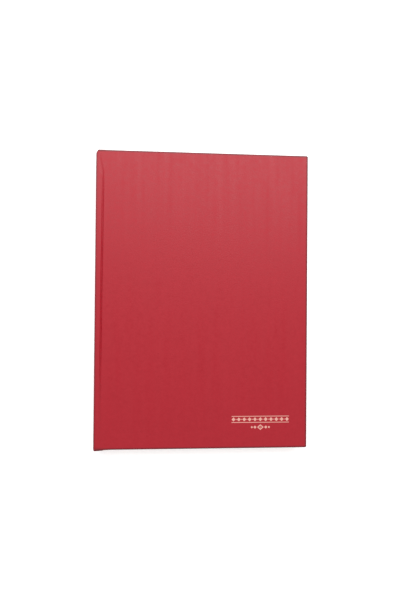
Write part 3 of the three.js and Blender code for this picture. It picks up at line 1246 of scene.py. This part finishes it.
    def fold_margins(self, draft: MeshDraft, margins: Sequence[Margin]) -> None:
        """Folds the cloth over the edges and in behind the board.

        Args:
            draft: the mesh that it goes into.
            margins: where the folding starts.
        """
        strips = []
        for margin in margins:
            (start_x, start_y, start_depth), (out_x, out_y) = margin.place, margin.outward
            strip = [margin.point]
            length, before = 0.0, (0.0, 0.0)
            for out, deep, painted_shade in self.fold_profile(margin):
                length += math.dist(before, (out, deep))
                before = (out, deep)
                x = start_x + out_x * out + margin.inward[0] * deep
                y = start_y + out_y * out
                depth = start_depth + margin.inward[1] * deep
                place = self.to_frame(*self.hang(start_x, x, y), depth)
                flat = (margin.flat[0] + out_x * length, margin.flat[1] + out_y * length)
                strip.append(draft.point(place, flat, painted_shade))
            strips.append(strip)
        draft.loft(strips)

    def place(self) -> Object:
        """Builds the cloth and hides the imported cloth that it replaces; it is not hung between the spine and its
        cover.

        Returns:
            The piece.
        """
        piece = self.build()
        side = self.side.value
        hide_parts(f"{side}_cover_cloth", f"{side}_joint_cloth", "spine_cloth")
        book = self.book
        hinge = self.to_frame(book.fold_x, 0, 0)
        start = hinge - Vector((self.hinge_before, 0, 0))
        bend_with_cover(piece, self.side, start, hinge + Vector((self.hinge_after, 0, 0)))
        return piece


@dataclass
class CoverBoard:
    """The grey board of one cover, its edges and corners eased so that the cloth lies close."""

    side: Side
    finish: Material
    ease: float = 1.05 * MM
    steps: int = 4

    def place(self) -> Object:
        """Builds the board and hangs it on its cover.

        Returns:
            The piece.
        """
        node = f"{self.side.value}_cover_board"
        low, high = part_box(node)
        draft = MeshDraft()
        levels = []
        for z in (low.z, high.z):
            levels.append([draft.point(Vector((x, y, z))) for x, y in rectangle(low, high)])
            draft.face(levels[-1])
        draft.bridge(*levels, closed=True)
        piece = draft.piece(f"{self.side.value}_grey_board", [self.finish])
        eased = piece.modifiers.new("eased_edges", "BEVEL")
        eased.width = self.ease
        eased.segments = self.steps
        apply_modifiers(piece)
        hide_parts(node)
        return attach(piece, self.side.cover)


@dataclass
class Endpaper:
    """One folded endpaper: a half pasted down inside the cover and a free half, the flyleaf."""

    book: Book
    side: Side
    paper: Material
    edge: Material
    thickness: float = 0.18 * MM
    slope: float = 1.5 * MM  # from the turned-in cloth down to the board
    gutter: float = 20 * MM  # how much of the flyleaf next to the spine has close points for bending; it lies flat
    fold_gap: float = 0.4 * MM  # from the leaves' folds to the pasted half
    joint_steps: int = 18
    slope_steps: int = 5
    level_steps: int = 12
    bend_steps: int = 28
    flat_steps: int = 6

    def place(self) -> list[Object]:
        """Builds both halves; neither is hung on a body."""
        return [self.pastedown(), self.flyleaf()]

    def hinge(self) -> Vector:
        """The line that this side of the book turns on, at the middle of its height."""
        return Vector((self.book.fold_x, 0, self.book.height(self.side, 0)))

    def well(self) -> tuple[float, float, float, float]:
        """Where the paper lies on the board, between the gauze and the turned-in cloth.

        Returns:
            The lowest and highest x, half the height, and how far it sinks there.
        """
        side, turn_in = self.side.value, CaseCloth.turn_in
        outer = self.book.depth_span(self.side, f"{side}_pastedown")[0]
        inner = self.book.depth_span(self.side, f"{side}_cover_cloth")[1]
        low_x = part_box(f"{side}_mull_flange")[1].x + self.slope
        high_x = self.book.fore_x - turn_in - self.slope
        half = self.book.cover_half - turn_in - self.slope
        return low_x, high_x, half, inner - outer

    def pastedown(self) -> Object:
        """Makes the half that is pasted to the board, with the fold beside the leaves.

        Returns:
            The piece.
        """
        book, node = self.book, f"{self.side.value}_pastedown"
        level = book.depth_span(self.side, node)[1] - self.thickness / 2
        low_x, high_x, half, sink = self.well()

        def depth(x: float, y: float) -> float:
            """How deep the middle of the paper lies."""
            inside = min(x - low_x, high_x - x, half - abs(y))
            return level - sink * smoothstep(inside / self.slope)

        joint = spaced(book.fold_x + self.fold_gap, book.board_x, self.joint_steps)
        xs = [*joint, *self.stations(low_x, high_x), book.page_x]
        ys = [-book.page_half, *self.stations(-half, half), book.page_half]
        draft = MeshDraft()
        layers = []
        for shift in (-self.thickness / 2, self.thickness / 2):
            layer = []
            for x in xs:
                places = [Vector((x, y, book.height(self.side, depth(x, y) + shift))) for y in ys]
                layer.append([draft.point(p, (p.x - book.fold_x, p.y)) for p in places])
            draft.loft(layer)
            layers.append(layer)
        outer, inside = layers
        for row in (0, -1):
            draft.bridge([line[row] for line in outer], [line[row] for line in inside], 1)
            draft.bridge(outer[row], inside[row], 1)
        piece = draft.piece(f"{node}_paper", [self.paper, self.edge], crease=CREASE)
        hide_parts(node)
        hinge = self.hinge()
        bend_with_cover(piece, self.side, hinge, hinge + Vector((book.board_x - book.fold_x, 0, 0)))
        return piece

    def stations(self, low: float, high: float) -> list[float]:
        """Where the pasted paper needs points in its well, close together on the slopes.

        Args:
            low: where the well starts.
            high: where it ends.

        Returns:
            The places in rising order.
        """
        down = spaced(low, low + self.slope, self.slope_steps)
        up = spaced(high - self.slope, high, self.slope_steps)
        level = spaced(down[-1], up[0], self.level_steps)[1:-1]
        return [*down, *level, *up]

    def flyleaf(self) -> Object:
        """Makes the free half.

        Returns:
            The piece, lying flat.
        """
        book = self.book
        node = f"{self.side.value}_flyleaf"
        outer, inner = book.depth_span(self.side, node)
        z = book.height(self.side, (outer + inner) / 2)
        bent = book.fold_x + self.gutter
        bending = spaced(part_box(node)[0].x, bent, self.bend_steps)
        xs = [*bending, *spaced(bent, book.page_x, self.flat_steps)[1:]]
        unrolled = [x - book.fold_x for x in xs]
        draft = MeshDraft()
        add_ribbon(draft, [(x, z) for x in xs], unrolled, self.thickness, book.page_half)
        piece = draft.piece(f"{node}_paper", [self.paper, self.edge], crease=CREASE)
        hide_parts(node)
        hinge = self.hinge()
        self.side.flyleaf
        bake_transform(piece)
        return piece


@dataclass
class Section:
    """One section: sheets of ruled paper, folded together and nested in each other."""

    book: Book
    node: str
    ruled: Material
    edges: Material
    draws: random.Random
    sheets: int = 4
    paper: float = 0.1 * MM
    air: float = 0.008 * MM  # between one sheet and the next
    trim: float = 0.05 * MM  # how unevenly the fore edge is cut
    gutter: float = 24 * MM  # how much of a leaf next to the fold has close points for bending; it lies straight
    bend_steps: int = 28
    flat_steps: int = 4
    fold_steps: int = 6

    def path(self, sheet: int, middle: float, half: float) -> tuple[list[Pair], list[float]]:
        """The way of one folded sheet, from one fore edge round the fold to the other.

        Args:
            sheet: its number, counted from the outermost.
            middle: the height of the fold.
            half: half the thickness of the section.

        Returns:
            The (x, z) points, and each one's distance from the fold along the sheet.
        """
        radius = half - (sheet + 0.5) * self.paper
        centre = self.book.fold_x + half
        bending = spaced(0, self.gutter, self.bend_steps)
        flat = spaced(self.gutter, self.book.page_x - centre, self.flat_steps)[1:]
        lengths = [*bending, *flat]
        points, unrolled = [], []
        for leaf in (1, -1):
            cut = self.draws.uniform(-self.trim, 0)
            run = [(centre + length, middle + leaf * radius) for length in lengths]
            run[-1] = (run[-1][0] + cut, run[-1][1])
            places = [leaf * (length + half) for length in lengths]
            if leaf == 1:
                run.reverse()
                places.reverse()
                for step in range(1, self.fold_steps):
                    angle = math.pi / 2 + math.pi * step / self.fold_steps
                    x, z = radius * math.cos(angle), radius * math.sin(angle)
                    run.append((centre + x, middle + z))
                    places.append(half * math.cos(angle - math.pi / 2))
            points += run
            unrolled += places
        return points, unrolled

    def place(self) -> Object:
        """Builds the section, and hangs it on the spine only where no joint moves it.

        Returns:
            The piece.
        """
        low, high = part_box(self.node)
        draft = MeshDraft()
        for sheet in range(self.sheets):
            path, unrolled = self.path(sheet, (low.z + high.z) / 2, (high.z - low.z) / 2)
            add_ribbon(draft, path, unrolled, self.paper - self.air, self.book.page_half)
        piece = draft.piece(f"{self.node}_leaves", [self.ruled, self.edges], crease=CREASE)
        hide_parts(self.node)
        joint = next((j for j in frame["joints"] if j["child"] == self.node), None)
        if joint is None:
            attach(piece, SPINE)
        else:
            hinge = Vector(joint["pos_m"])
            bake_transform(piece)
        return piece


@dataclass
class Band:
    """A headband or tailband: silk in two colours, wound round a core, on a cloth tape."""

    book: Book
    node: str
    red: Material
    cream: Material
    stripe: float = 0.9 * MM
    bulge: float = 0.07 * MM
    sides: int = 20
    stripe_steps: int = 6
    tape: float = 0.2 * MM
    tape_steps: int = 6
    draft: MeshDraft = field(default_factory=MeshDraft)

    def place(self) -> Object:
        """Builds the band and hangs it on the spine.

        Returns:
            The piece.
        """
        low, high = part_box(self.node)
        way = 1 if high.y > 0 else -1
        tip, foot = (high.y, low.y) if way > 0 else (low.y, high.y)
        radius = (high.x - low.x) / 2
        middle = tip - way * radius
        self.wind_bead(Vector((low.x + radius, middle, 0)), radius, low.z, high.z)
        self.add_tape(low, high, foot, middle)
        piece = self.draft.piece(f"{self.node}_silk", [self.red, self.cream], crease=60)
        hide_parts(self.node)
        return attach(piece, SPINE)

    def wind_bead(self, middle: Vector, radius: float, low: float, high: float) -> None:
        """Adds the wound bead, one swelling for each stripe.

        Args:
            middle: the bead's axis, which runs along z.
            radius: its largest radius.
            low: where it starts.
            high: where it ends.
        """
        stripes, steps = round((high - low) / self.stripe), self.stripe_steps
        rings: list[list[int]] = []
        for step in range(stripes * steps + 1):
            share = step / steps
            r = radius - self.bulge * (1 - abs(math.sin(math.pi * share)))
            z = low + (high - low) * share / stripes
            ring = []
            for k in range(self.sides):
                angle = 2 * math.pi * k / self.sides
                place = middle + Vector((r * math.cos(angle), r * math.sin(angle), z))
                ring.append(self.draft.point(place, (z, r * angle)))
            rings.append(ring)
        for step, (first, second) in enumerate(zip(rings, rings[1:])):
            self.draft.bridge(first, second, (step // steps) % 2, closed=True)
        self.draft.face(rings[0])
        self.draft.face(rings[-1])

    def add_tape(self, low: Vector, high: Vector, foot: float, tip: float) -> None:
        """Adds the tape that is glued down the back of the leaves.

        Args:
            low: the band's lowest corner, on the tape's outer face.
            high: the band's highest corner.
            foot: the tape's end on the leaves.
            tip: its end in the bead.
        """
        corners = rectangle((low.x, low.z), (low.x + self.tape, high.z))
        rings = []
        for y in spaced(foot, tip, self.tape_steps):
            rings.append([self.draft.point(Vector((x, y, z)), (z, y)) for x, z in corners])
        self.draft.loft(rings, 1, closed=True, capped=True)


@dataclass
class FoilOrnament:
    """A plain stamped ornament: a band of diamonds between rules, and a smaller motif below."""

    cloth: CaseCloth
    finish: Material
    middle: Pair = (57.1 * MM, -115.0 * MM)
    band: Pair = (56.2 * MM, 6.5 * MM)
    rule: float = 0.6 * MM
    diamonds: int = 11
    diamond: Pair = (3.7 * MM, 3.9 * MM)
    dot: Pair = (1.1 * MM, 1.1 * MM)
    motif_middle: Pair = (57.2 * MM, -122.6 * MM)
    motif_diamond: Pair = (6.4 * MM, 5.4 * MM)
    # The small diamonds beside the motif: how far from its middle, and how large.
    motif_sides: tuple[Pair, ...] = ((0.0053, 0.0030), (0.0084, 0.0023))
    line: float = 0.95 * MM  # width of the motif's lines
    proud: float = 0.03 * MM
    bar_step: float = 4 * MM
    draft: MeshDraft = field(default_factory=MeshDraft)

    def place(self) -> Object:
        """Stamps the ornament on the front cover.

        Returns:
            The piece.
        """
        self.stamp_band()
        self.stamp_motif()
        piece = self.draft.piece("gold_foil_ornament", [self.finish], crease=40)
        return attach(piece, self.cloth.side.cover)

    def stamp_band(self) -> None:
        """Adds the two rules with the row of diamonds and dots between them."""
        (x, y), (width, height) = self.middle, self.band
        for way in (-1, 1):
            self.stamp_bar(x - width / 2, x + width / 2, y + way * (height - self.rule) / 2)
        pitch = (width - self.diamond[0]) / (self.diamonds - 1)
        first = x - width / 2 + self.diamond[0] / 2
        for i in range(self.diamonds):
            self.stamp_diamond((first + pitch * i, y), self.diamond)
            if i:
                self.stamp_diamond((first + pitch * (i - 0.5), y), self.dot)

    def stamp_motif(self) -> None:
        """Adds the motif below: an open diamond between smaller and smaller ones."""
        x, y = self.motif_middle
        self.stamp_ring((x, y), self.motif_diamond)
        self.stamp_diamond((x, y), self.dot)
        for way in (-1, 1):
            for off, size in self.motif_sides:
                self.stamp_diamond((x + way * off, y), (size, size))

    def outline(self, centre: Pair, size: Pair) -> list[Pair]:
        """The four corners of a diamond, in order."""
        (x, y), (width, height) = centre, size
        return [(x - width / 2, y), (x, y - height / 2), (x + width / 2, y), (x, y + height / 2)]

    def point(self, x: float, y: float, way: int) -> int:
        """Adds a point just outside the cloth's face with way 1, or just inside it with -1."""
        depth = self.cloth.face_depth(x, y) - way * self.proud
        return self.draft.point(self.cloth.to_frame(x, y, depth))

    def ring(self, outline: Sequence[Pair], way: int) -> list[int]:
        """Adds the points of an outline."""
        return [self.point(x, y, way) for x, y in outline]

    def stamp_diamond(self, centre: Pair, size: Pair) -> None:
        """Adds a thin filled diamond of a width and height."""
        outline = self.outline(centre, size)
        self.draft.loft([self.ring(outline, way) for way in (1, -1)], closed=True, capped=True)

    def stamp_bar(self, start: float, end: float, y: float) -> None:
        """Adds a rule in short lengths, so that it follows the cloth.

        Args:
            start: its lowest x.
            end: its highest x.
            y: its middle.
        """
        corners = rectangle((y - self.rule / 2, 1), (y + self.rule / 2, -1))
        stations = spaced(start, end, max(1, round((end - start) / self.bar_step)))
        rings = [[self.point(x, side, way) for side, way in corners] for x in stations]
        self.draft.loft(rings, closed=True, capped=True)

    def stamp_ring(self, centre: Pair, size: Pair) -> None:
        """Adds a diamond drawn in a line.

        Args:
            centre: its middle.
            size: its outer width and height.
        """
        width, height = size
        slant = math.hypot(width, height)
        inset = (self.line * slant / height, self.line * slant / width)
        outer = self.outline(centre, size)
        inner = self.outline(centre, (width - 2 * inset[0], height - 2 * inset[1]))
        around = ((outer, 1), (inner, 1), (inner, -1), (outer, -1))
        rings = [self.ring(outline, way) for outline, way in around]
        self.draft.loft([*rings, rings[0]], closed=True)


@dataclass
class Studio:
    """A pale floor, soft light and a camera where the photograph was taken from."""

    book: Book
    distance: float = 450 * MM
    tilts: Triple = (-0.622, -4.023, 0.516)  # about X, Y and Z, in degrees
    offset: Pair = (2.07 * MM, -0.22 * MM)
    focal_pixels: float = 466.3
    picture_height: float = 601.0
    floor_half: float = 12.0
    floor_drop: float = 0.12 * MM  # how far the floor lies below the back cover
    floor_colour: Colour = (0.93, 0.93, 0.93, 1.0)
    floor_glow: float = 0.50
    daylight: Colour = (1.0, 1.0, 1.0, 1.0)
    daylight_strength: float = 0.53
    # Each soft box's name, place, width and height, and power in watts.
    soft_boxes: tuple[tuple[str, Triple, Pair, float], ...] = (
        ("head_light", (0.06, 0.60, 0.80), (1.35, 0.74), 8.5),
        ("left_light", (-1.6, 0.2, 1.1), (0.9, 0.9), 1.7),
    )

    def camera(self) -> None:
        """Makes the camera and sets it as the scene's."""
        about_x, about_y, about_z = (
            Matrix.Rotation(math.radians(tilt), 3, axis) for tilt, axis in zip(self.tilts, "XYZ")
        )
        turn = about_z @ about_y @ about_x
        place = -(turn.transposed() @ Vector((*self.offset, self.distance)))
        flip = Matrix.Diagonal((1, -1, -1))
        data = bpy.data.cameras.new("camera")
        data.lens = self.focal_pixels / self.picture_height * data.sensor_width
        data.clip_start = 1 * MM
        camera = bpy.data.objects.new("camera", data)
        right, down, forward = (flip @ Vector(row) for row in turn)
        axes = Matrix((right, -down, -forward)).transposed()
        top = Vector((0, 0, self.book.thickness))
        camera.matrix_world = Matrix.Translation(flip @ place + top) @ axes.to_4x4()
        bpy.context.scene.collection.objects.link(camera)
        bpy.context.scene.camera = camera

    def floor(self) -> None:
        """Lays the floor that the book lies on."""
        half = self.floor_half
        corners = rectangle((-half, -half), (half, half))
        draft = MeshDraft()
        draft.face([draft.point(Vector((x, y, -self.floor_drop))) for x, y in corners])
        shader = Shader("pale_floor")
        shader.set(Base_Color=self.floor_colour, Roughness=0.9, Specular_IOR_Level=0.1)
        shader.set(Emission_Color=self.floor_colour, Emission_Strength=self.floor_glow)
        draft.piece("floor", [shader.material], closed=False)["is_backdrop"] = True

    def soft_box(self, name: str, place: Vector, size: Pair, power: float) -> None:
        """Hangs a soft light that faces the book.

        Args:
            name: the light's name.
            place: where it hangs.
            size: its width and height.
            power: its power, in watts.
        """
        data = bpy.data.lights.new(name, "AREA")
        data.shape = "RECTANGLE"
        data.size, data.size_y = size
        data.energy = power
        light = bpy.data.objects.new(name, data)
        light.location = place
        light.rotation_mode = "QUATERNION"
        light.rotation_quaternion = (-place).to_track_quat("-Z", "Y")
        light.visible_camera = False
        bpy.context.scene.collection.objects.link(light)

    def light(self) -> None:
        """Sets the even daylight of a studio and its soft boxes."""
        world = bpy.data.worlds.new("studio")
        world.use_nodes = True
        background = world.node_tree.nodes["Background"]
        background.inputs["Color"].default_value = self.daylight
        background.inputs["Strength"].default_value = self.daylight_strength
        bpy.context.scene.world = world
        for name, place, size, power in self.soft_boxes:
            self.soft_box(name, Vector(place), size, power)

    def place(self) -> None:
        """Sets up the whole studio."""
        self.camera()
        self.floor()
        self.light()
        bpy.context.scene.view_settings.view_transform = "Standard"


def dress_packed_pieces(finishes: Finishes) -> None:
    """Finishes the spine board, linings and stitches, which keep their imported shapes.

    Args:
        finishes: the book's finishes.
    """
    finish_of: dict[str, Material] = {
        "board": finishes.board,
        "gauze": finishes.gauze,
        "kraft_paper": finishes.kraft,
        "thread": finishes.thread,
    }
    for part in frame["record"]["subparts"]:
        finish = finish_of.get(part["material_slot"])
        if finish:
            materials = frame["nodes"][part["node"]].data.materials
            materials.clear()
            materials.append(finish)


def corners(box: tuple[Vector, Vector]) -> list[list[float]]:
    """A box as plain lists of numbers."""
    return [list(corner) for corner in box]


def report(piece: Object) -> None:
    """Logs a finished piece."""
    log.info("%s: %d points", piece.name, len(piece.data.vertices))


def main() -> None:
    """Builds the book's pieces in order, then the studio, and works out both boxes without keeping them."""
    logging.basicConfig(level=logging.INFO, format="%(name)s: %(message)s")
    packed_box = corners(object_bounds())
    book = Book.packed()
    finishes = Finishes()
    clothes = {side: CaseCloth(book, side, finishes.cloth) for side in Side}
    for side, cloth in clothes.items():
        report(cloth.place())
        report(CoverBoard(side, finishes.board).place())
        for paper in Endpaper(book, side, finishes.endpaper, finishes.endpaper_edge).place():
            report(paper)
    draws = random.Random(SEED)
    for node in sorted(n for n in frame["nodes"] if n.startswith("section_")):
        report(Section(book, node, finishes.ruled, finishes.cut_edges, draws).place())
    for node in ("headband", "tailband"):
        report(Band(book, node, finishes.red_silk, finishes.cream_silk).place())
    report(FoilOrnament(clothes[Side.FRONT], finishes.foil).place())
    dress_packed_pieces(finishes)
    Studio(book).place()
    {"cad": packed_box, "visual": corners(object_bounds())}


if __name__ == "__main__":
    main()
